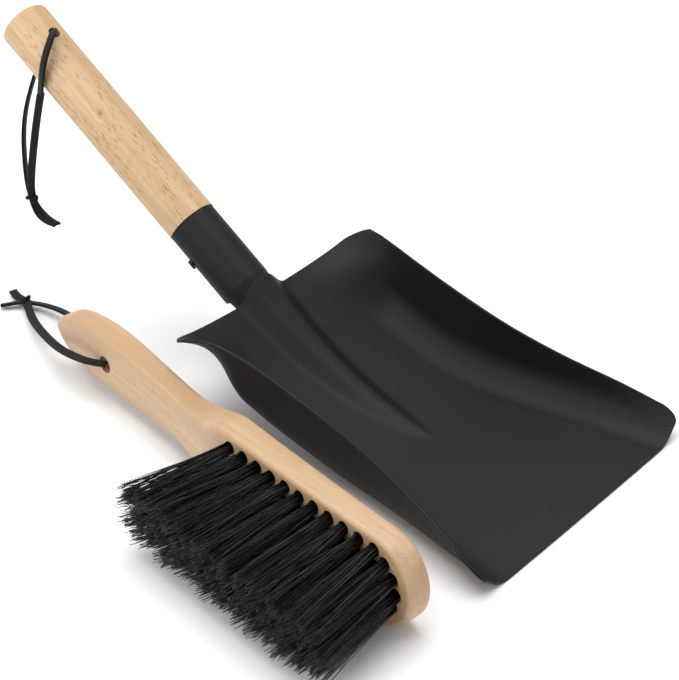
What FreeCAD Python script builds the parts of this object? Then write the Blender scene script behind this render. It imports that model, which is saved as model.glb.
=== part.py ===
import FreeCAD, Part
import math
import os

# Dust pan and hand brush set, in millimetres. +Z is up, +Y runs from the pan's lip to the end of its
# handle, +X is the pan's right. The table is z = 0. The brush lies on its side at the pan's left.

V = FreeCAD.Vector

# --- pan: one pressed steel sheet -----------------------------------------------------------------
SHEET = 1.2                 # steel thickness
LIP_Y = -49.0               # middle of the lip
LIP_BOW = 2.0               # how far the lip's ends lie behind its middle
BACK_Y = 149.0              # middle of the back edge
BACK_BOW = 4.4              # how far the back edge's ends lie in front of its middle
BEND_R = 16.0               # inside radius of the bend between floor and side wall
HEEL_Y = 36.0               # the floor is flat from the lip to here
HEEL_R = 190.0              # and then curves up to the back edge with this radius
REST_STEP = 0.04            # the flat of the floor stands this much proud, so that it is exactly flat
REST_HALF = 42.0
REST_EDGE = 5.0
LIP_CORNER_R = 12.0
BACK_CORNER_R = 15.0
CORNER_TURN = math.radians(72.0)
LIP_CORNER_RUN = 0.45
BACK_CORNER_RUN = 0.58
# station along Y, half width of the floor, half width at the rim, height of the rim
STATIONS = [
    (-49.0, 61.0, 80.6, 10.0),
    (-20.0, 55.5, 72.5, 18.5),
    (10.0, 49.5, 65.5, 25.2),
    (40.0, 45.0, 61.2, 32.2),
    (70.0, 42.5, 60.2, 39.6),
    (97.0, 42.5, 60.6, 46.6),
    (115.0, 43.5, 62.4, 50.4),
    (129.0, 45.5, 65.8, 51.4),
    (149.0, 50.0, 74.5, 46.0),
]
DISH_Y = 108.0              # behind here the section opens into a shallow dish at the back edge
DISH_POWER = 1.9

# --- stiffening ridge in the pan's floor ----------------------------------------------------------
RIDGE_TIP_Y = 39.0
RIDGE_HEIGHT = 10.0         # above the floor, at the back edge
RIDGE_HALF = 17.5           # half width of its foot, at the back edge
RIDGE_TAPER = 0.45          # how quickly the foot narrows towards the tip

# --- socket and wooden handle ---------------------------------------------------------------------
RISE = math.radians(33.6)   # the handle's slope above the table
SOCKET_MOUTH = V(0, 194.6, 63.0)
SOCKET_R = 13.2
SOCKET_BORE_R = 12.1
SOCKET_LENGTH = 43.0        # full round part, down to the end of the rolled flaps
NECK_LENGTH = 30.0          # half round part, which runs into the ridge
NECK_END_R = 8.6
NECK_CUT = -3.0             # the neck keeps what is above this height beside the axis
MOUTH_ROUND = 0.5
HANDLE_R = 13.5
HANDLE_LENGTH = 138.8       # outside the socket
TENON_R = 12.0
TENON_LENGTH = 41.0
END_ROUND = 3.0
HOLE_FROM_END = 19.5        # cross hole for the lace
HOLE_R = 3.0
SCREW_FROM_MOUTH = 16.7
SCREW_ANGLE = math.radians(218.0)
SCREW_SHANK_R = 1.2
SCREW_HEAD_R = 2.6
SCREW_HEAD_H = 1.5
SCREW_DEPTH = 10.0

# --- laces ----------------------------------------------------------------------------------------
LACE_R = 1.5
KNOT_R = 3.4

# --- brush ----------------------------------------------------------------------------------------
HEAD_HALF = 22.0            # half width, and the radius of the nose
HEAD_END = 98.0             # from the centre of the nose's arc to where the head narrows
NOSE_THICK = 12.8
FACE_SIDE_Y = -11.5         # edges above this belong to the bristle side of the stock
BRUSH_END = 252.0
BRUSH_YAW = math.radians(8.5)
BRUSH_AT = V(-119.0, -20.4, HEAD_HALF)
HANG_HOLE_AT = 206.0
HANG_HOLE_R = 4.4
BACK_ROUND = 3.0
FACE_ROUND = 2.4
SHORT_EDGE = 5.0

COLUMNS = 11
FIRST_COLUMN = 0.5
COLUMN_PITCH = 9.45
ROWS = [-16.0, -8.0, 0.0, 8.0, 16.0]
NOSE_TUFTS = 5
NOSE_ARC_R = 14.0
NOSE_ARC_STEP = math.radians(30.0)
NOSE_ARC_AT = 1.0
TUFT_HOLE_R = 3.1
TUFT_HOLE_DEPTH = 9.0
TUFT_R = 2.85
TUFT_TIP_R = 2.6
BRISTLE_LENGTH = 52.0
FLARE_ALONG = 1.18          # spread of the tips along the brush
FLARE_ACROSS = 0.70         # the rows lean together a little towards the tips
FLARE_CENTRE = 43.0
ANCHOR_R = 0.5
ANCHOR_HALF = 2.6

os.makedirs("parts", exist_ok=True)


def save(shape, name):
    shape.exportStep("parts/" + name + ".step")
    print(name, "valid", shape.isValid(), "solids", len(shape.Solids), "volume", round(shape.Volume, 1))


def hermite(stations, column, y):
    """Smooth value of one column of a station table at y."""
    last = len(stations) - 1
    i = 0
    while i < last - 1 and y > stations[i + 1][0]:
        i += 1
    y0, y1 = stations[i][0], stations[i + 1][0]
    v0, v1 = stations[i][column], stations[i + 1][column]

    def slope(j):
        a, b = max(j - 1, 0), min(j + 1, last)
        return (stations[b][column] - stations[a][column]) / (stations[b][0] - stations[a][0])

    step = y1 - y0
    s = (y - y0) / step
    m0, m1 = slope(i) * step, slope(i + 1) * step
    return (v0 * (2 * s**3 - 3 * s**2 + 1) + m0 * (s**3 - 2 * s**2 + s)
            + v1 * (3 * s**2 - 2 * s**3) + m1 * (s**3 - s**2))


# --- pan ------------------------------------------------------------------------------------------
def floor_height(y):
    run = max(0.0, y - HEEL_Y)
    return HEEL_R - math.sqrt(HEEL_R**2 - run**2)


def ridge_height(x, y):
    """Height of the ridge above the floor."""
    q = (BACK_Y - y) / (BACK_Y - RIDGE_TIP_Y)
    if q >= 1.0:
        return 0.0
    half = RIDGE_HALF * (1.0 - max(q, 0.0)) ** RIDGE_TAPER
    side = abs(x) / half
    if side >= 1.0:
        return 0.0
    crest = 0.22 * (1.0 - max(q, 0.0))
    fade = max(0.0, (side - crest) / (1.0 - crest))
    return RIDGE_HEIGHT * (1.0 - max(q, 0.0) ** 1.25) * math.cos(0.5 * math.pi * fade) ** 2


def section_point(y, run):
    """Point of the inner face across the pan. run is 0 at the middle, 1 and 2 at the bend, 3 at the rim."""
    half = hermite(STATIONS, 1, y)
    base = floor_height(y)
    rim_x = hermite(STATIONS, 2, y)
    rim_z = hermite(STATIONS, 3, y)
    if run <= 1.0:
        return half * run, base
    centre_x, centre_z = half, base + BEND_R
    reach = math.hypot(rim_x - centre_x, rim_z - centre_z)
    towards = math.atan2(rim_z - centre_z, rim_x - centre_x)
    touch = towards - math.acos(min(1.0, BEND_R / max(reach, BEND_R)))
    start = -0.5 * math.pi
    if run <= 2.0:
        angle = start + (touch - start) * (run - 1.0)
        return centre_x + BEND_R * math.cos(angle), centre_z + BEND_R * math.sin(angle)
    x = centre_x + BEND_R * math.cos(touch)
    z = centre_z + BEND_R * math.sin(touch)
    return x + (rim_x - x) * (run - 2.0), z + (rim_z - z) * (run - 2.0)


def corner_rise(run, radius, span):
    """How far an end edge of the sheet has curved back at this run, on an arc of the given radius."""
    part = max(0.0, (abs(run) - 3.0 + span) / span) * math.sin(CORNER_TURN)
    return radius * (1.0 - math.sqrt(1.0 - part**2))


def dish_point(y, run):
    """The same point on the shallow dish that the section opens into."""
    share = run / 3.0
    base = floor_height(y)
    rise = hermite(STATIONS, 3, y) - base
    return hermite(STATIONS, 2, y) * share, base + rise * share**DISH_POWER


def inner_point(run, along):
    """Point of the pan's upper face. run is -3 to 3 across, along is 0 at the lip and 1 at the back."""
    out = (run / 3.0) ** 2
    y_lip = LIP_Y + LIP_BOW * out + corner_rise(run, LIP_CORNER_R, LIP_CORNER_RUN)
    y_back = BACK_Y - BACK_BOW * out - corner_rise(run, BACK_CORNER_R, BACK_CORNER_RUN)
    y = y_lip + (y_back - y_lip) * along
    x, z = section_point(y, abs(run))
    open_up = min(1.0, max(0.0, (y - DISH_Y) / (BACK_Y - DISH_Y)))
    open_up = open_up**2 * (3.0 - 2.0 * open_up)
    dish_x, dish_z = dish_point(y, abs(run))
    x += (dish_x - x) * open_up
    z += (dish_z - z) * open_up
    return V(math.copysign(x, run), y, z + REST_STEP + SHEET + ridge_height(x, y))


def sheet_point(run, along, drop):
    """Point at the given depth under the upper face."""
    if drop == 0.0:
        return inner_point(run, along)
    d = 0.004
    a = inner_point(min(run + d, 3.0), along) - inner_point(max(run - d, -3.0), along)
    b = inner_point(run, min(along + d, 1.0)) - inner_point(run, max(along - d, 0.0))
    normal = a.cross(b)
    normal.normalize()
    return inner_point(run, along) - normal * drop


def pressed_sheet():
    half = [0.0, 0.05, 0.1, 0.16, 0.22, 0.28, 0.35, 0.42, 0.52, 0.65, 0.8, 0.9, 0.97]
    half += [1.03, 1.1, 1.2, 1.35, 1.5, 1.65, 1.8, 1.9, 1.97, 2.03, 2.1, 2.25, 2.4, 2.5]
    half += [2.6, 2.7, 2.78, 2.85, 2.9, 2.94, 2.97, 3.0]
    runs = [-run for run in reversed(half[1:])] + half
    steps = [i / 36.0 for i in range(37)]
    skins = []
    for drop in (0.0, SHEET):
        grid = [[sheet_point(run, along, drop) for along in steps] for run in runs]
        skin = Part.BSplineSurface()
        skin.interpolate(grid)
        skins.append(skin.toShape())
    top, under = skins
    walls = []
    for edge in top.Edges:
        near = min(under.Edges, key=lambda other: (other.CenterOfMass - edge.CenterOfMass).Length)
        walls.append(Part.makeRuledSurface(edge, near))
    shell = Part.makeShell([top, under] + walls)
    shell.sewShape()
    solid = Part.makeSolid(shell)
    if solid.Volume < 0:
        solid.reverse()
    return solid


def axis_frame():
    """Direction of the handle, and the upward direction square to it."""
    along = V(0, math.cos(RISE), math.sin(RISE))
    upward = V(0, -math.sin(RISE), math.cos(RISE))
    return along, upward


def socket_tube():
    """Rolled socket, and the upper half of a cone that runs from it into the ridge."""
    along, upward = axis_frame()
    low = SOCKET_MOUTH - along * SOCKET_LENGTH
    tube = Part.makeCylinder(SOCKET_R, SOCKET_LENGTH, low, along)
    mouth = max(tube.Edges, key=lambda edge: edge.CenterOfMass.z)
    tube = tube.makeFillet(MOUTH_ROUND, [mouth])
    bore = Part.makeCylinder(SOCKET_BORE_R, SOCKET_LENGTH + 2.0, low - along, along)
    tube = tube.cut(bore)
    neck = Part.makeCone(SOCKET_R, NECK_END_R, NECK_LENGTH, low + along * 0.5, -along)
    hollow = Part.makeCone(SOCKET_R - SHEET, NECK_END_R - SHEET, NECK_LENGTH + 0.01, low + along * 0.5, -along)
    neck = neck.cut(hollow)
    keep = Part.makeBox(60, NECK_LENGTH + 2.0, 40, V(-30, -NECK_LENGTH - 1.0, NECK_CUT))
    keep.rotate(V(0, 0, 0), V(1, 0, 0), math.degrees(RISE))
    keep.translate(low)
    return tube.fuse(neck.common(keep))


def rest_pad():
    """Flat of the floor."""
    length = HEEL_Y - REST_EDGE - LIP_Y - REST_EDGE
    return Part.makeBox(2 * REST_HALF, length, 0.5 * SHEET, V(-REST_HALF, LIP_Y + REST_EDGE, 0))


def make_pan():
    pan = pressed_sheet().fuse(rest_pad()).fuse(socket_tube())
    pan = pan.cut(screw_shank(0.15))
    return max(pan.Solids, key=lambda solid: solid.Volume)


# --- handle and screw -----------------------------------------------------------------------------
def handle_hole_centre():
    along, upward = axis_frame()
    return SOCKET_MOUTH + along * (HANDLE_LENGTH - HOLE_FROM_END)


def make_handle():
    along, upward = axis_frame()
    grip = Part.makeCylinder(HANDLE_R, HANDLE_LENGTH, SOCKET_MOUTH + along * 0.2, along)
    far = max(grip.Edges, key=lambda edge: edge.CenterOfMass.z)
    grip = grip.makeFillet(END_ROUND, [far])
    tenon = Part.makeCylinder(TENON_R, TENON_LENGTH, SOCKET_MOUTH - along * TENON_LENGTH, along)
    tenon = tenon.fuse(Part.makeCylinder(TENON_R, 1.0, SOCKET_MOUTH, along))
    handle = grip.fuse(tenon)
    centre = handle_hole_centre()
    handle = handle.cut(Part.makeCylinder(HOLE_R, 60, centre - upward * 30, upward))
    return handle.cut(screw_shank(0.05)).removeSplitter()


def screw_line():
    """Point on the socket's axis beside the screw, and the screw's outward direction."""
    along, upward = axis_frame()
    outward = V(math.cos(SCREW_ANGLE), 0, 0) + upward * math.sin(SCREW_ANGLE)
    return SOCKET_MOUTH - along * SCREW_FROM_MOUTH, outward


def screw_shank(clearance):
    point, outward = screw_line()
    start = point + outward * (SOCKET_R - SCREW_DEPTH)
    return Part.makeCylinder(SCREW_SHANK_R + clearance, SCREW_DEPTH + 0.5, start, outward)


def make_screw():
    point, outward = screw_line()
    seat = point + outward * (SOCKET_R + 0.05)
    head = Part.makeCylinder(SCREW_HEAD_R, SCREW_HEAD_H, seat, outward)
    rim = max(head.Edges, key=lambda edge: (edge.CenterOfMass - point).Length)
    head = head.makeFillet(1.0, [rim])
    return head.fuse(screw_shank(0.0)).removeSplitter()


# --- laces ----------------------------------------------------------------------------------------
def tube_along(points, name, radius=LACE_R):
    """Round tube of straight runs joined by tangent arcs, as large as the runs allow."""
    edges = []
    start = points[0]
    radii = []
    for i in range(1, len(points) - 1):
        before, corner, after = points[i - 1], points[i], points[i + 1]
        back = before - corner
        ahead = after - corner
        leg = 0.45 * min(back.Length, ahead.Length)
        turn = math.pi - back.getAngle(ahead)
        radii.append(leg / math.tan(0.5 * turn))
        back.normalize()
        ahead.normalize()
        enter = corner + back * leg
        leave = corner + ahead * leg
        inward = back + ahead
        inward.normalize()
        centre = corner + inward * (radii[-1] / math.cos(0.5 * turn))
        middle = centre - inward * radii[-1]
        edges.append(Part.LineSegment(start, enter).toShape())
        edges.append(Part.Arc(enter, middle, leave).toShape())
        start = leave
    edges.append(Part.LineSegment(start, points[-1]).toShape())
    path = Part.Wire(edges)
    first = points[1] - points[0]
    ring = Part.Wire([Part.makeCircle(radius, points[0], first)])
    tube = path.makePipeShell([ring], True, False)
    expected = math.pi * radius**2 * path.Length
    print(name, "length", round(path.Length, 1), "volume ratio", round(tube.Volume / expected, 4),
          "radii", [round(r, 1) for r in radii])
    return tube


def make_knot(centre, radius=KNOT_R):
    """Lump of two crossed turns of lace."""
    knot = Part.makeSphere(radius, centre)
    for tilt in (-35, 35):
        ring = Part.makeTorus(radius - 0.6, 1.2)
        ring.rotate(V(0, 0, 0), V(0, 1, 0), tilt)
        ring.translate(centre)
        knot = knot.fuse(ring)
    return max(knot.Solids, key=lambda solid: solid.Volume)


def make_pan_lace():
    """Route of the pan's lace: through the handle, over its left flank, and both strands hanging."""
    near_exit = V(-13.0, 287.0, 109.0)
    far_exit = V(-0.3, 303.0, 113.6)
    knot = V(-9.0, 305.6, 42.0)
    wrap = [V(0, 302.0, 116.9), handle_hole_centre(), V(-0.3, 285.9, 142.6), V(-8.0, 279.8, 143.0),
            V(-15.8, 278.3, 133.0), V(-16.5, 281.0, 121.0), V(-13.3, 285.9, 111.6)]
    near = [near_exit, V(-12.2, 292.0, 95.0), V(-11.2, 298.0, 75.5), V(-10.2, 303.2, 57.5),
            knot + V(0, 0.6, 3.1)]
    far = [far_exit, V(-3.0, 308.2, 99.0), V(-6.0, 310.8, 81.5), V(-8.0, 310.2, 63.0),
           knot + V(0.3, 3.0, 3.0)]
    tail = [knot + V(0, -1.2, -3.3), V(-9.3, 301.0, 33.6), V(-9.6, 294.5, 31.6), V(-9.4, 288.0, 31.7)]
    save(tube_along(wrap, "pan_lace_wrap"), "pan_lace_wrap")
    for name, route in (("pan_lace_near_strand", near), ("pan_lace_far_strand", far)):
        strand = tube_along(route, name).fuse(Part.makeSphere(LACE_R, route[0]))
        save(strand.cut(make_knot(knot)).removeSplitter(), name)
    save(tube_along(tail, "pan_lace_tail").cut(make_knot(knot)), "pan_lace_tail")
    save(make_knot(knot), "pan_lace_knot")


def make_brush_lace():
    """The brush's lace leaves both ends of the hanging hole and lies down on the table."""
    knot = V(-43.0, 278.0, 3.6)
    near = [V(-77.0, 181.6, 22.0), V(-80.0, 190.0, 21.3), V(-79.0, 202.0, 19.0), V(-76.0, 216.0, 16.0),
            V(-67.5, 236.0, 11.0), V(-56.0, 259.0, 6.0), V(-44.5, 275.4, 3.6)]
    far = [V(-65.0, 179.7, 22.0), V(-57.2, 178.8, 22.0), V(-57.3, 186.0, 20.0), V(-54.0, 200.0, 17.0),
           V(-49.0, 218.0, 12.0), V(-43.5, 238.0, 8.5), V(-40.0, 255.0, 6.0), V(-40.0, 267.0, 4.2),
           V(-42.3, 275.5, 3.4)]
    long_tail = [V(-43.6, 281.0, 3.2), V(-42.0, 287.0, 2.2), V(-39.0, 293.0, 1.7)]
    short_tail = [V(-45.6, 280.0, 3.2), V(-49.0, 283.5, 2.2), V(-53.0, 287.0, 1.7)]
    lump = make_knot(knot)
    for name, route in (("brush_lace_near_strand", near), ("brush_lace_far_strand", far),
                        ("brush_lace_long_tail", long_tail), ("brush_lace_short_tail", short_tail)):
        save(tube_along(route, name).cut(lump), name)
    save(lump, "brush_lace_knot")


# --- brush ----------------------------------------------------------------------------------------
def brush_place(shape):
    """Moves a shape from the brush's own frame, X along, Y towards the tips, Z across, to the table."""
    matrix = FreeCAD.Matrix()
    along = V(math.sin(BRUSH_YAW), math.cos(BRUSH_YAW), 0)
    tips = V(-math.cos(BRUSH_YAW), math.sin(BRUSH_YAW), 0)
    across = V(0, 0, 1)
    matrix.A11, matrix.A21, matrix.A31 = along.x, along.y, along.z
    matrix.A12, matrix.A22, matrix.A32 = tips.x, tips.y, tips.z
    matrix.A13, matrix.A23, matrix.A33 = across.x, across.y, across.z
    matrix.A14, matrix.A24, matrix.A34 = BRUSH_AT.x, BRUSH_AT.y, BRUSH_AT.z
    copy = shape.copy()
    copy.Placement = FreeCAD.Placement(matrix)
    return copy


def spline(points, start, end):
    """Smooth curve through the points, with the given directions at its ends."""
    curve = Part.BSplineCurve()
    curve.interpolate(Points=points, InitialTangent=start, FinalTangent=end)
    return curve.toShape()


def brush_outline():
    """The stock seen from its bristle side."""
    side = [V(HEAD_END, 0, HEAD_HALF), V(120, 0, 16.5), V(138, 0, 12.2), V(165, 0, 12.0),
            V(200, 0, 13.4), V(228, 0, 12.6), V(245, 0, 8.0), V(BRUSH_END, 0, 0)]
    other = [V(p.x, 0, -p.z) for p in reversed(side)]
    edges = [Part.Arc(V(0, 0, -HEAD_HALF), V(-HEAD_HALF, 0, 0), V(0, 0, HEAD_HALF)).toShape(),
             Part.LineSegment(V(0, 0, HEAD_HALF), side[0]).toShape(),
             spline(side + other[1:], V(1, 0, 0), V(-1, 0, 0)),
             Part.LineSegment(other[-1], V(0, 0, -HEAD_HALF)).toShape()]
    return Part.Wire(edges)


def brush_profile():
    """The stock seen from its side."""
    nose = -HEAD_HALF - 1
    front = [V(104, 0, 0), V(122, -3.2, 0), V(150, -8.0, 0), V(180, -10.2, 0), V(215, -11.5, 0),
             V(BRUSH_END + 1, -14.5, 0)]
    back = [V(BRUSH_END + 1, -26.5, 0), V(215, -27.5, 0), V(180, -24.8, 0), V(150, -22.0, 0),
            V(120, -18.8, 0), V(90, -16.4, 0), V(50, -14.6, 0), V(nose, -NOSE_THICK, 0)]
    edges = [Part.LineSegment(V(nose, 0, 0), front[0]).toShape(), spline(front, V(1, 0, 0), V(1, -0.1, 0)),
             Part.LineSegment(front[-1], back[0]).toShape(), spline(back, V(-1, 0, 0), V(-1, 0.02, 0)),
             Part.LineSegment(back[-1], V(nose, 0, 0)).toShape()]
    return Part.Wire(edges)


def tuft_roots():
    """Lists of (along, across) for each column, and for the arc round the nose."""
    groups = []
    nose = []
    for i in range(NOSE_TUFTS):
        angle = (i - (NOSE_TUFTS - 1) / 2.0) * NOSE_ARC_STEP
        nose.append((NOSE_ARC_AT - NOSE_ARC_R * math.cos(angle), NOSE_ARC_R * math.sin(angle)))
    groups.append(("bristle_nose_arc", "anchor_nose_arc", nose))
    for column in range(COLUMNS):
        x = FIRST_COLUMN + column * COLUMN_PITCH
        name = "%02d" % (column + 1)
        groups.append(("bristle_column_" + name, "anchor_column_" + name, [(x, z) for z in ROWS]))
    return groups


def round_edges(solid):
    """Rounds the long edges of the stock's back, then those of its bristle side."""
    back = [e for e in solid.Edges if e.CenterOfMass.y < FACE_SIDE_Y and e.Length > SHORT_EDGE
            and abs(e.Length - 2.0 * HEAD_HALF) > 0.5]
    solid = solid.makeFillet(BACK_ROUND, back)
    face = [e for e in solid.Edges if e.CenterOfMass.y > FACE_SIDE_Y and e.Length > SHORT_EDGE
            and abs(e.Length - 2.0 * HEAD_HALF) > 1.5]
    return solid.makeFillet(FACE_ROUND, face)


def make_stock():
    plan = Part.Face(brush_outline()).extrude(V(0, -60, 0))
    plan.translate(V(0, 10, 0))
    side = Part.Face(brush_profile()).extrude(V(0, 0, 80))
    side.translate(V(0, 0, -40))
    stock = round_edges(plan.common(side).removeSplitter())
    stock = stock.cut(Part.makeCylinder(HANG_HOLE_R, 60, V(HANG_HOLE_AT, -50, 0), V(0, 1, 0)))
    bores = []
    for _, _, roots in tuft_roots():
        for x, z in roots:
            bores.append(Part.makeCylinder(TUFT_HOLE_R, TUFT_HOLE_DEPTH + 1, V(x, 1, z), V(0, -1, 0)))
    return stock.cut(Part.makeCompound(bores))


def make_tuft(x, z):
    """One tuft: a plug in its hole and a leaning, slightly widening bundle outside it."""
    foot = TUFT_HOLE_DEPTH - 1.6
    plug = Part.makeCylinder(TUFT_R, foot, V(x, -foot, z), V(0, 1, 0))
    tip = V(FLARE_CENTRE + (x - FLARE_CENTRE) * FLARE_ALONG, BRISTLE_LENGTH, z * FLARE_ACROSS)
    root_ring = Part.Wire([Part.makeCircle(TUFT_R, V(x, 0, z), V(0, 1, 0))])
    tip_ring = Part.Wire([Part.makeCircle(TUFT_TIP_R, tip, V(0, 1, 0))])
    bundle = Part.makeLoft([root_ring, tip_ring], True, True)
    return plug.fuse(bundle)


def make_anchor(x, z):
    """Wire that holds the folded tuft at the bottom of its hole."""
    depth = -TUFT_HOLE_DEPTH + 0.8
    return Part.makeCylinder(ANCHOR_R, 2 * ANCHOR_HALF, V(x - ANCHOR_HALF, depth, z), V(1, 0, 0))


def make_brush():
    save(brush_place(make_stock()), "brush_stock")
    for tuft_name, anchor_name, roots in tuft_roots():
        save(brush_place(Part.makeCompound([make_tuft(x, z) for x, z in roots])), tuft_name)
        save(brush_place(Part.makeCompound([make_anchor(x, z) for x, z in roots])), anchor_name)


save(make_pan(), "pan")
save(make_handle(), "pan_handle")
save(make_screw(), "socket_screw")
make_pan_lace()
make_brush()
make_brush_lace()
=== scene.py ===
import math
import random

import bmesh
import bpy
from mathutils import Matrix, Vector


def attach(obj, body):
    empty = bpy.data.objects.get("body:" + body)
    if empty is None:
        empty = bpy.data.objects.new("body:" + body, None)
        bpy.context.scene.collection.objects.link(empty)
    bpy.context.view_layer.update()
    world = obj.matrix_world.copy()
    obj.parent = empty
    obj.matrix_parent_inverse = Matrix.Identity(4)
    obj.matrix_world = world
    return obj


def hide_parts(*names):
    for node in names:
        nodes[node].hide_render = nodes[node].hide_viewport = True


# Looks of the dust pan and hand brush set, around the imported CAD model. Lengths are in metres unless
# a comment says millimetres.

MM = 0.001

# --- the brush's own frame: along the stock, towards the bristle tips, and up from the table ------
BRUSH_AT = Vector((-0.119, -0.0204, 0.022))
BRUSH_YAW = math.radians(8.5)
BRUSH_ALONG = Vector((math.sin(BRUSH_YAW), math.cos(BRUSH_YAW), 0))
BRUSH_TIPS = Vector((-math.cos(BRUSH_YAW), math.sin(BRUSH_YAW), 0))
BRUSH_UP = Vector((0, 0, 1))

HANDLE_RISE = math.radians(33.6)    # slope of the pan's handle above the table

# --- bristles, in millimetres in the brush's frame ------------------------------------------------
COLUMNS = 11
FIRST_COLUMN = 0.5
COLUMN_PITCH = 9.45
ROWS = (-16.0, -8.0, 0.0, 8.0, 16.0)
NOSE_TUFTS = 5
NOSE_ARC_AT = 1.0
NOSE_ARC_R = 14.0
NOSE_ARC_STEP = math.radians(30.0)
FIBRES = 62                 # in one tuft
FIBRE_R = 0.30
FIBRE_STEPS = 6
FIBRE_TAPER = 0.45          # how much thinner a fibre is at its tip
FIBRE_ROOT = 1.2            # how deep a fibre starts in its hole
TUFT_R = 2.75
BRISTLE_LENGTH = 51.5
FLARE_CENTRE = 43.0
TIP_FLARE = 1.15            # spread of the tufts' tips along the brush
TIP_GATHER = 0.64           # the rows lean together towards the tips
TIP_DROP = -0.8             # height of the tips' middle at the nose,
TIP_CLIMB = 3.0             # and how much higher it is at the handle's end
NOSE_END = -13.0            # place along the brush of the first tuft
TUFTED_LENGTH = 108.0
CLUMPS = 9                  # strands that one tuft splits into
CLUMP_REACH = 8.5
CLUMP_RISE = 1.8
STRAY_SHARE = 0.03          # share of the fibres that stray from their strand

# --- laces ----------------------------------------------------------------------------------------
LACE_WIDTH = 4.4 * MM
LACE_THICK = 1.5 * MM
KNOT_POINTS = 24
KNOT_SCALE = 0.92 * MM
KNOT_CORD_R = 1.05 * MM

# --- studio ---------------------------------------------------------------------------------------
FLOOR_HALF = 4.0
CAMERA_AT = (-0.6080, -0.4109, 0.5455)
CAMERA_HEADING = math.radians(39.93)
CAMERA_DOWN = math.radians(32.9)
CAMERA_LENS = 103.05
SKY_STRENGTH = 0.62

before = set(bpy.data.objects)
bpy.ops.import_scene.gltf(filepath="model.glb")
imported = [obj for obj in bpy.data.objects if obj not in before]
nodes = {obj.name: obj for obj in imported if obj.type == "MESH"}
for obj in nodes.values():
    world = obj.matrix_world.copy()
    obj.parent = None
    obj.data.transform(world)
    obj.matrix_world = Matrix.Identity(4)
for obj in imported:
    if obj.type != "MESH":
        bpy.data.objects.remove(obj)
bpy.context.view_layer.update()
random.seed(11)


# ================================================================================================
# Materials
# ================================================================================================
class Nodes:
    """Small helper that makes and links shader nodes of one material."""

    def __init__(self, name):
        self.material = bpy.data.materials.new(name)
        self.material.use_nodes = True
        self.tree = self.material.node_tree
        self.tree.nodes.clear()
        self.out = self.make("ShaderNodeOutputMaterial")
        self.shader = self.make("ShaderNodeBsdfPrincipled")
        self.tree.links.new(self.shader.outputs[0], self.out.inputs["Surface"])

    def make(self, kind, **values):
        node = self.tree.nodes.new(kind)
        for key, value in values.items():
            setattr(node, key, value)
        return node

    def link(self, source, target):
        self.tree.links.new(source, target)

    def coordinates(self, rotation=(0, 0, 0), scale=(1, 1, 1)):
        """Object coordinates, turned first and then stretched."""
        where = self.make("ShaderNodeTexCoord")
        turn = self.make("ShaderNodeMapping")
        turn.inputs["Rotation"].default_value = rotation
        self.link(where.outputs["Object"], turn.inputs["Vector"])
        stretch = self.make("ShaderNodeMapping")
        stretch.inputs["Scale"].default_value = scale
        self.link(turn.outputs[0], stretch.inputs["Vector"])
        return stretch.outputs[0]

    def noise(self, vector, scale, detail=3.0, roughness=0.5, distortion=0.0):
        node = self.make("ShaderNodeTexNoise")
        node.inputs["Scale"].default_value = scale
        node.inputs["Detail"].default_value = detail
        node.inputs["Roughness"].default_value = roughness
        node.inputs["Distortion"].default_value = distortion
        self.link(vector, node.inputs["Vector"])
        return node.outputs["Fac"]

    def spots(self, vector, scale):
        """Distance to the nearest of scattered points."""
        node = self.make("ShaderNodeTexVoronoi")
        node.inputs["Scale"].default_value = scale
        self.link(vector, node.inputs["Vector"])
        return node.outputs["Distance"]

    def fade(self, value, low, high, start=0.0, end=1.0):
        """Maps the range low to high onto start to end."""
        node = self.make("ShaderNodeMapRange")
        node.inputs["From Min"].default_value = low
        node.inputs["From Max"].default_value = high
        node.inputs["To Min"].default_value = start
        node.inputs["To Max"].default_value = end
        self.link(value, node.inputs["Value"])
        return node.outputs["Result"]

    def math(self, operation, first, second):
        node = self.make("ShaderNodeMath", operation=operation)
        for socket, value in zip(node.inputs, (first, second)):
            if isinstance(value, (int, float)):
                socket.default_value = value
            else:
                self.link(value, socket)
        return node.outputs[0]

    def mix(self, share, first, second, blend="MIX"):
        node = self.make("ShaderNodeMix", data_type="RGBA", blend_type=blend)
        for name, value in (("Factor_Float", share), ("A_Color", first), ("B_Color", second)):
            socket = next(s for s in node.inputs if s.identifier == name)
            if isinstance(value, (int, float)):
                socket.default_value = value
            elif isinstance(value, tuple):
                socket.default_value = (*value, 1.0)
            else:
                self.link(value, socket)
        return next(s for s in node.outputs if s.identifier == "Result_Color")

    def bump(self, height, distance, strength=1.0, before=None):
        node = self.make("ShaderNodeBump")
        node.inputs["Distance"].default_value = distance
        node.inputs["Strength"].default_value = strength
        self.link(height, node.inputs["Height"])
        if before is not None:
            self.link(before, node.inputs["Normal"])
        return node.outputs["Normal"]

    def set(self, **values):
        """Sets or links the shader's inputs."""
        for name, value in values.items():
            socket = self.shader.inputs[name.replace("_", " ")]
            if isinstance(value, (int, float)):
                socket.default_value = value
            elif isinstance(value, tuple):
                socket.default_value = (*value, 1.0)
            else:
                self.link(value, socket)


def edge_rounding(n, radius):
    """Softens the shading of sharp edges."""
    node = n.make("ShaderNodeBevel", samples=4)
    node.inputs["Radius"].default_value = radius
    return node.outputs[0]


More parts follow.
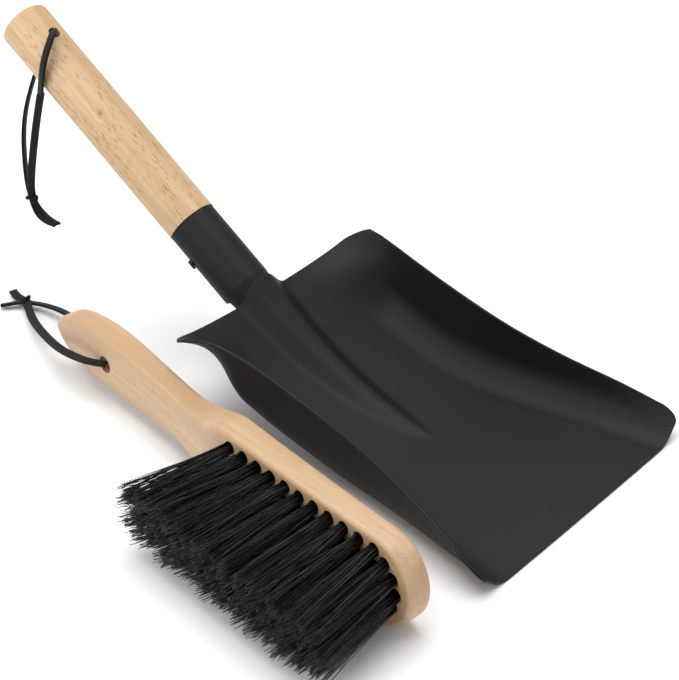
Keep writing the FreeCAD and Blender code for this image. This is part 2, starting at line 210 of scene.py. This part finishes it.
def powder_coat():
    """Matte black powder coat: fine orange peel, faint dust and lightly rubbed edges."""
    n = Nodes("powder_coat_black")
    here = n.coordinates()
    peel = n.noise(here, 1500.0, detail=2.0)
    drift = n.noise(here, 14.0, detail=4.0)
    dust = n.noise(here, 420.0, detail=5.0, roughness=0.7)
    tone = n.mix(n.fade(drift, 0.3, 0.7), (0.006, 0.006, 0.0062), (0.0085, 0.0085, 0.0087))
    tone = n.mix(n.fade(dust, 0.62, 0.8, 0.0, 0.3), tone, (0.028, 0.028, 0.03))
    n.set(Base_Color=tone)
    n.set(Roughness=n.fade(drift, 0.3, 0.7, 0.50, 0.60))
    n.set(Specular_IOR_Level=0.24)
    n.set(Normal=n.bump(peel, 0.00006, 0.35, edge_rounding(n, 0.0005)))
    return n.material


def wood(name, turn, light, dark, pore_tone, pore_share, knot=None):
    """Lacquered hardwood with its grain along the turned Y axis."""
    n = Nodes(name)
    grain = n.coordinates(turn, (1.0, 0.05, 1.0))
    clouds = n.noise(grain, 55.0, detail=4.0, distortion=0.4)
    streaks = n.noise(grain, 380.0, detail=3.0, roughness=0.6)
    fibres = n.noise(grain, 1300.0, detail=3.0, roughness=0.6)
    bands = n.make("ShaderNodeTexWave", wave_type="BANDS", bands_direction="DIAGONAL")
    bands.inputs["Scale"].default_value = 38.0
    bands.inputs["Distortion"].default_value = 6.0
    bands.inputs["Detail"].default_value = 3.0
    bands.inputs["Detail Scale"].default_value = 1.2
    n.link(n.coordinates(turn, (1.0, 0.03, 1.0)), bands.inputs["Vector"])
    dashes = n.spots(n.coordinates(turn, (1.0, 0.11, 1.0)), 1250.0)
    patches = n.noise(n.coordinates(turn, (1.0, 0.25, 1.0)), 120.0, detail=2.0)
    pores = n.math("MULTIPLY", n.fade(dashes, 0.20, 0.29, 1.0, 0.0), n.fade(patches, 0.42, 0.56))
    rings = n.fade(bands.outputs["Fac"], 0.75, 1.0)
    tone = n.mix(n.fade(clouds, 0.32, 0.68), light, dark)
    tone = n.mix(n.math("MULTIPLY", rings, 0.35), tone, dark)
    tone = n.mix(n.fade(streaks, 0.42, 0.66, 0.0, 0.75), tone, dark)
    tone = n.mix(n.fade(fibres, 0.35, 0.75, 0.0, 0.30), tone, dark)
    tone = n.mix(n.math("MULTIPLY", pores, pore_share), tone, pore_tone)
    if knot is not None:
        where = n.make("ShaderNodeTexCoord")
        distance = n.make("ShaderNodeVectorMath", operation="DISTANCE")
        distance.inputs[1].default_value = knot
        n.link(where.outputs["Object"], distance.inputs[0])
        halo = n.fade(distance.outputs["Value"], 0.0008, 0.0032, 0.45, 0.0)
        tone = n.mix(halo, tone, (0.38, 0.11, 0.03))
        core = n.fade(distance.outputs["Value"], 0.0004, 0.0013, 0.8, 0.0)
        tone = n.mix(core, tone, (0.16, 0.045, 0.015))
    n.set(Base_Color=tone)
    n.set(Roughness=n.fade(fibres, 0.3, 0.7, 0.34, 0.44))
    n.set(Specular_IOR_Level=0.45)
    n.set(Coat_Weight=0.12)
    n.set(Coat_Roughness=0.25)
    shape = n.bump(fibres, 0.00005, 0.35, edge_rounding(n, 0.0006))
    n.set(Normal=n.bump(pores, 0.00003, -0.3, shape))
    return n.material


def bristle_material():
    """Black stiff fibre; a random share of the fibres get a grey base colour, a painted highlight that
    stands in for the thin light lines along single fibres.
    """
    n = Nodes("bristle_black")
    here = n.coordinates()
    streak = n.noise(here, 900.0, detail=2.0)
    fibre = n.make("ShaderNodeAttribute", attribute_name="fibre_highlight")
    dull = n.mix(n.fade(streak, 0.35, 0.7), (0.0012, 0.0012, 0.0013), (0.004, 0.0038, 0.004))
    # Fibres whose value is above 0.76 get a grey base colour: painted highlight lines.
    n.set(Base_Color=n.mix(n.fade(fibre.outputs["Fac"], 0.76, 1.0), dull, (0.052, 0.051, 0.053)))
    n.set(Roughness=n.fade(streak, 0.3, 0.7, 0.24, 0.36))
    n.set(Specular_IOR_Level=0.38)
    return n.material


def lace_material():
    """Black suede lace: short nap, brighter at grazing angles."""
    n = Nodes("suede_black")
    here = n.coordinates()
    nap = n.noise(here, 2600.0, detail=4.0, roughness=0.7)
    patch = n.noise(here, 240.0, detail=3.0)
    tone = n.mix(n.fade(nap, 0.35, 0.7), (0.003, 0.003, 0.0033), (0.011, 0.0105, 0.011))
    tone = n.mix(n.fade(patch, 0.5, 0.75, 0.0, 0.4), tone, (0.016, 0.0155, 0.016))
    n.set(Base_Color=tone)
    n.set(Roughness=0.92)
    n.set(Specular_IOR_Level=0.2)
    n.set(Sheen_Weight=0.08)
    n.set(Sheen_Roughness=0.5)
    n.set(Normal=n.bump(nap, 0.00018, 0.8))
    return n.material


def screw_material():
    """Blackened steel, slightly worn."""
    n = Nodes("blackened_steel")
    here = n.coordinates()
    wear = n.noise(here, 800.0, detail=4.0)
    n.set(Base_Color=n.mix(n.fade(wear, 0.5, 0.75), (0.012, 0.012, 0.013), (0.05, 0.05, 0.052)))
    n.set(Metallic=0.3)
    n.set(Roughness=n.fade(wear, 0.3, 0.7, 0.42, 0.58))
    n.set(Normal=n.bump(wear, 0.00004, 0.4, edge_rounding(n, 0.0003)))
    return n.material


def wire_material():
    """Bright drawn wire of the anchors."""
    n = Nodes("drawn_wire")
    here = n.coordinates()
    drawn = n.noise(here, 2500.0, detail=2.0)
    n.set(Base_Color=n.mix(n.fade(drawn, 0.3, 0.7), (0.4, 0.4, 0.41), (0.6, 0.6, 0.6)))
    n.set(Metallic=1.0)
    n.set(Roughness=n.fade(drawn, 0.3, 0.7, 0.3, 0.45))
    return n.material


def floor_material():
    """Plain pale studio floor."""
    n = Nodes("studio_floor")
    here = n.coordinates()
    grain = n.noise(here, 30.0, detail=3.0)
    n.set(Base_Color=n.mix(n.fade(grain, 0.3, 0.7), (0.90, 0.90, 0.90), (0.915, 0.915, 0.915)))
    n.set(Roughness=0.75)
    n.set(Specular_IOR_Level=0.1)
    return n.material


def dress(obj, material):
    """Gives an object one material."""
    obj.data.materials.clear()
    obj.data.materials.append(material)


def smooth(obj):
    """Smooth shading on every face."""
    for face in obj.data.polygons:
        face.use_smooth = True


# ================================================================================================
# Bristles
# ================================================================================================
def brush_point(along, tips, up):
    """Point of the row frame from millimetres in the brush's frame."""
    return BRUSH_AT + (BRUSH_ALONG * along + BRUSH_TIPS * tips + BRUSH_UP * up) * MM


def tuft_tip(along, up):
    """Where the middle of a tuft's tip lies, in the brush's frame."""
    reach = along - FLARE_CENTRE
    tip_along = FLARE_CENTRE + reach * TIP_FLARE
    share = (along - NOSE_END) / TUFTED_LENGTH
    tip_up = up * TIP_GATHER + (TIP_DROP + TIP_CLIMB * share)
    return tip_along, tip_up


def add_fibre(bm, line, radius, tone):
    """Three-sided fibre, thinner at its tip, along a list of points; its per-vertex value picks the
    fibres with a painted highlight.
    """
    layer = bm.verts.layers.float["fibre_highlight"]
    rings = []
    for i, point in enumerate(line):
        ahead = line[min(i + 1, len(line) - 1)] - line[max(i - 1, 0)]
        side = ahead.cross(BRUSH_UP).normalized()
        other = ahead.cross(side).normalized()
        size = radius * (1.0 - FIBRE_TAPER * i / (len(line) - 1))
        ring = []
        for k in range(3):
            angle = 2.0 * math.pi * k / 3.0
            vertex = bm.verts.new(point + (side * math.cos(angle) + other * math.sin(angle)) * size)
            vertex[layer] = tone
            ring.append(vertex)
        rings.append(ring)
    for low, high in zip(rings, rings[1:]):
        for k in range(3):
            bm.faces.new((low[k], low[(k + 1) % 3], high[(k + 1) % 3], high[k]))
    bm.faces.new(rings[-1])
    bm.faces.new(list(reversed(rings[0])))


def add_tuft(bm, along, up):
    """One tuft of loose fibres, which fans out of its hole and crosses its neighbours."""
    tip_along, tip_up = tuft_tip(along, up)
    tip_along += random.uniform(-1.2, 1.2)
    tip_up += random.uniform(-0.8, 0.8)
    clumps = []
    for _ in range(CLUMPS):
        reach = random.uniform(-CLUMP_REACH, CLUMP_REACH)
        clumps.append((reach, random.gauss(0, CLUMP_RISE), random.uniform(-0.9, 0.5)))
    for _ in range(FIBRES):
        turn = random.uniform(0, 2 * math.pi)
        spread = math.sqrt(random.random()) * TUFT_R
        side, rise = spread * math.cos(turn), spread * math.sin(turn)
        clump = min(random.sample(clumps, 3), key=lambda c: abs(c[0] - 2.0 * side))
        end_a = tip_along + clump[0] + random.gauss(0, 0.9)
        end_u = tip_up + rise + clump[1] + random.gauss(0, 0.8)
        length = BRISTLE_LENGTH + clump[2] + random.gauss(0, 0.5)
        if random.random() < STRAY_SHARE:
            end_a += random.gauss(0, 4.0)
            end_u += random.gauss(0, 2.0)
        bow_a, bow_u = random.gauss(0, 0.6), random.gauss(0, 0.5)
        line = []
        for i in range(FIBRE_STEPS + 1):
            share = i / FIBRE_STEPS
            bow = math.sin(math.pi * share)
            a = along + side + (end_a - along - side) * share + bow_a * bow
            u = up + rise + (end_u - up - rise) * share + bow_u * bow
            line.append(brush_point(a, -FIBRE_ROOT + (length + FIBRE_ROOT) * share, u))
        radius = FIBRE_R * MM * random.uniform(0.8, 1.2)
        # The random value picks which fibres carry the painted highlight in the bristle material.
        add_fibre(bm, line, radius, random.random())


def make_bristles(name, node, roots, material):
    """The fibres of one row of tufts, which stand in for the CAD tufts of that row."""
    bm = bmesh.new()
    # Per-fibre value that selects the fibres with a painted highlight.
    bm.verts.layers.float.new("fibre_highlight")
    for along, up in roots:
        add_tuft(bm, along, up)
    mesh = bpy.data.meshes.new(name)
    bm.to_mesh(mesh)
    bm.free()
    obj = bpy.data.objects.new(name, mesh)
    bpy.context.scene.collection.objects.link(obj)
    smooth(obj)
    dress(obj, material)
    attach(obj, "hand_brush")
    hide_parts(node)


def all_bristles(material):
    """The arc of tufts round the nose, and the columns behind it."""
    nose = []
    for i in range(NOSE_TUFTS):
        angle = (i - (NOSE_TUFTS - 1) / 2) * NOSE_ARC_STEP
        nose.append((NOSE_ARC_AT - NOSE_ARC_R * math.cos(angle), NOSE_ARC_R * math.sin(angle)))
    make_bristles("fibres_nose_arc", "bristle_nose_arc", nose, material)
    for column in range(COLUMNS):
        along = FIRST_COLUMN + column * COLUMN_PITCH
        number = "%02d" % (column + 1)
        roots = [(along, up) for up in ROWS]
        make_bristles("fibres_column_" + number, "bristle_column_" + number, roots, material)


# ================================================================================================
# Laces
# ================================================================================================
def lace_profile():
    """Flat cross-section with rounded edges."""
    curve = bpy.data.curves.new("lace_profile", "CURVE")
    curve.dimensions = "2D"
    spline = curve.splines.new("NURBS")
    half_w, half_t = LACE_WIDTH / 2, LACE_THICK / 2
    corners = [(half_w, 0), (half_w, half_t), (0.4 * half_w, half_t), (-0.4 * half_w, half_t),
               (-half_w, half_t), (-half_w, 0), (-half_w, -half_t), (-0.4 * half_w, -half_t),
               (0.4 * half_w, -half_t), (half_w, -half_t)]
    spline.points.add(len(corners) - 1)
    for point, (x, y) in zip(spline.points, corners):
        point.co = (x, y, 0, 1)
    spline.use_cyclic_u = True
    spline.order_u = 3
    spline.resolution_u = 3
    obj = bpy.data.objects.new("lace_profile", curve)
    bpy.context.scene.collection.objects.link(obj)
    obj.hide_render = True
    return obj


def make_lace(name, points, profile, material, body):
    """Flat lace along a route given in millimetres."""
    curve = bpy.data.curves.new(name, "CURVE")
    curve.dimensions = "3D"
    spline = curve.splines.new("NURBS")
    spline.points.add(len(points) - 1)
    for point, place in zip(spline.points, points):
        point.co = (place[0] * MM, place[1] * MM, place[2] * MM, 1)
    spline.order_u = 3
    spline.use_endpoint_u = True
    spline.resolution_u = 12
    curve.bevel_mode = "OBJECT"
    curve.bevel_object = profile
    curve.use_fill_caps = True
    obj = bpy.data.objects.new(name, curve)
    bpy.context.scene.collection.objects.link(obj)
    dress(obj, material)
    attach(obj, body)
    return obj


def make_knot(name, centre, turn, material, body, node):
    """Overhand knot of lace, pulled tight, turned about X by the given degrees."""
    curve = bpy.data.curves.new(name, "CURVE")
    curve.dimensions = "3D"
    spline = curve.splines.new("NURBS")
    spline.points.add(KNOT_POINTS - 1)
    rotate = Matrix.Rotation(math.radians(turn), 3, "X")
    for i, point in enumerate(spline.points):
        a = 2 * math.pi * i / KNOT_POINTS
        loop = Vector((math.sin(a) + 2 * math.sin(2 * a), math.cos(a) - 2 * math.cos(2 * a),
                       -1.5 * math.sin(3 * a)))
        place = Vector(centre) * MM + rotate @ (loop * KNOT_SCALE)
        point.co = (*place, 1)
    spline.use_cyclic_u = True
    spline.order_u = 3
    spline.resolution_u = 6
    curve.bevel_depth = KNOT_CORD_R
    curve.bevel_resolution = 4
    obj = bpy.data.objects.new(name, curve)
    bpy.context.scene.collection.objects.link(obj)
    dress(obj, material)
    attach(obj, body)
    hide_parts(node)
    return obj


def pan_laces(profile, material):
    """The pan's lace: over the handle's flank, then two hanging strands, a knot and the tails."""
    knot_at = (-9.0, 305.6, 42.0)
    wrap = [(-0.1, 302.9, 114.7), (0, 294.0, 129.0), (-0.3, 285.9, 142.6), (-8.0, 279.8, 143.0),
            (-15.8, 278.3, 133.0), (-16.5, 281.0, 121.0), (-13.1, 286.7, 109.6)]
    near = [(-13.35, 285.9, 111.0), (-12.2, 292.0, 95.0), (-11.2, 298.0, 75.5), (-10.2, 303.2, 57.5),
            (-9.0, 306.2, 45.1), (-9.0, 304.4, 38.7), (-9.3, 301.0, 33.6), (-9.6, 294.5, 31.6),
            (-9.4, 287.5, 32.2)]
    far = [(-0.2, 302.3, 115.9), (-3.0, 308.2, 99.0), (-6.0, 310.8, 81.5), (-8.0, 310.2, 63.0),
           (-8.7, 308.6, 45.0), (-8.0, 305.0, 39.0), (-7.2, 302.2, 34.6), (-6.8, 295.6, 31.0),
           (-6.6, 289.5, 30.6)]
    knot = make_knot("pan_knot", knot_at, 20, material, "pan_lace_loop", "pan_lace_knot")
    over = make_lace("pan_lace_over", wrap, profile, material, "dust_pan")
    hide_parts("pan_lace_wrap")
    first = make_lace("pan_lace_near", near, profile, material, "pan_lace_loop")
    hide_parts("pan_lace_near_strand", "pan_lace_tail")
    second = make_lace("pan_lace_far", far, profile, material, "pan_lace_loop")
    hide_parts("pan_lace_far_strand")


def brush_laces(profile, material):
    """The brush's lace: out of both ends of the hole, down to the table, a knot and two tails."""
    knot_at = (-43.0, 278.0, 3.6)
    near = [(-77.0, 181.6, 22.0), (-80.0, 190.0, 21.3), (-79.0, 202.0, 19.0), (-76.0, 216.0, 16.0),
            (-67.5, 236.0, 11.0), (-56.0, 259.0, 6.0), (-44.5, 275.4, 3.6), (-42.8, 281.0, 3.4),
            (-42.0, 287.0, 2.6), (-39.0, 293.0, 2.1)]
    far = [(-65.0, 179.7, 22.0), (-57.2, 178.8, 22.0), (-57.3, 186.0, 20.0), (-54.0, 200.0, 17.0),
           (-49.0, 218.0, 12.0), (-43.5, 238.0, 8.5), (-40.0, 255.0, 6.0), (-40.0, 267.0, 4.2),
           (-42.3, 275.5, 3.4), (-45.6, 280.0, 3.4), (-49.0, 283.5, 2.6), (-53.0, 287.0, 2.1)]
    knot = make_knot("brush_knot", knot_at, 70, material, "hand_brush", "brush_lace_knot")
    first = make_lace("brush_lace_near", near, profile, material, "hand_brush")
    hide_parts("brush_lace_near_strand", "brush_lace_long_tail")
    second = make_lace("brush_lace_far", far, profile, material, "hand_brush")
    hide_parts("brush_lace_far_strand", "brush_lace_short_tail")


# ================================================================================================
# Studio
# ================================================================================================
def make_floor():
    """Large flat floor under the set."""
    mesh = bpy.data.meshes.new("floor")
    bm = bmesh.new()
    bmesh.ops.create_grid(bm, x_segments=8, y_segments=8, size=FLOOR_HALF)
    bm.to_mesh(mesh)
    bm.free()
    floor = bpy.data.objects.new("floor", mesh)
    bpy.context.scene.collection.objects.link(floor)
    dress(floor, floor_material())


def make_camera():
    """Camera at the photograph's viewing angle."""
    data = bpy.data.cameras.new("camera")
    data.sensor_width = 36.0
    data.lens = CAMERA_LENS
    data.clip_start = 0.05
    data.clip_end = 20.0
    camera = bpy.data.objects.new("camera", data)
    bpy.context.scene.collection.objects.link(camera)
    level = math.cos(CAMERA_DOWN)
    east, north = level * math.cos(CAMERA_HEADING), level * math.sin(CAMERA_HEADING)
    look = Vector((east, north, -math.sin(CAMERA_DOWN)))
    camera.location = CAMERA_AT
    camera.rotation_euler = look.to_track_quat("-Z", "Y").to_euler()
    bpy.context.scene.camera = camera


def add_softbox(name, place, target, width, height, power):
    """Rectangular light that faces its target."""
    data = bpy.data.lights.new(name, "AREA")
    data.shape = "RECTANGLE"
    data.size = width
    data.size_y = height
    data.energy = power
    light = bpy.data.objects.new(name, data)
    bpy.context.scene.collection.objects.link(light)
    light.location = place
    towards = Vector(target) - Vector(place)
    light.rotation_euler = towards.to_track_quat("-Z", "Y").to_euler()


def make_lights():
    """White surroundings, a large light above and a smaller one at the left."""
    world = bpy.data.worlds.new("studio")
    bpy.context.scene.world = world
    world.use_nodes = True
    back = world.node_tree.nodes["Background"]
    back.inputs["Color"].default_value = (1.0, 1.0, 1.0, 1.0)
    back.inputs["Strength"].default_value = SKY_STRENGTH
    add_softbox("softbox_top", (0.1, 0.3, 1.5), (0, 0.1, 0), 1.6, 1.6, 22.0)
    add_softbox("softbox_left", (-1.3, 0.5, 0.9), (0, 0.1, 0), 1.0, 1.0, 8.0)


# ================================================================================================
# The set
# ================================================================================================
def dress_frame():
    """Materials for the CAD pieces that show."""
    handle_turn = (-HANDLE_RISE, 0, 0)
    brush_turn = (0, 0, BRUSH_YAW)
    handle_wood = wood("handle_wood", handle_turn, (0.70, 0.51, 0.32), (0.48, 0.30, 0.15),
                       (0.24, 0.095, 0.025), 0.95, knot=(-0.0090, 0.2471, 0.1108))
    brush_wood = wood("brush_wood", brush_turn, (0.60, 0.42, 0.26), (0.46, 0.29, 0.16),
                      (0.30, 0.17, 0.09), 0.4)
    finishes = {"pan": powder_coat(), "pan_handle": handle_wood, "brush_stock": brush_wood,
                "socket_screw": screw_material()}
    wire = wire_material()
    for name, node in nodes.items():
        if name in finishes:
            dress(node, finishes[name])
        elif name.startswith("anchor_"):
            dress(node, wire)


dress_frame()
bristle = bristle_material()
suede = lace_material()
all_bristles(bristle)
section = lace_profile()
pan_laces(section, suede)
brush_laces(section, suede)
make_floor()
make_camera()
make_lights()
bpy.context.scene.view_settings.view_transform = "Standard"
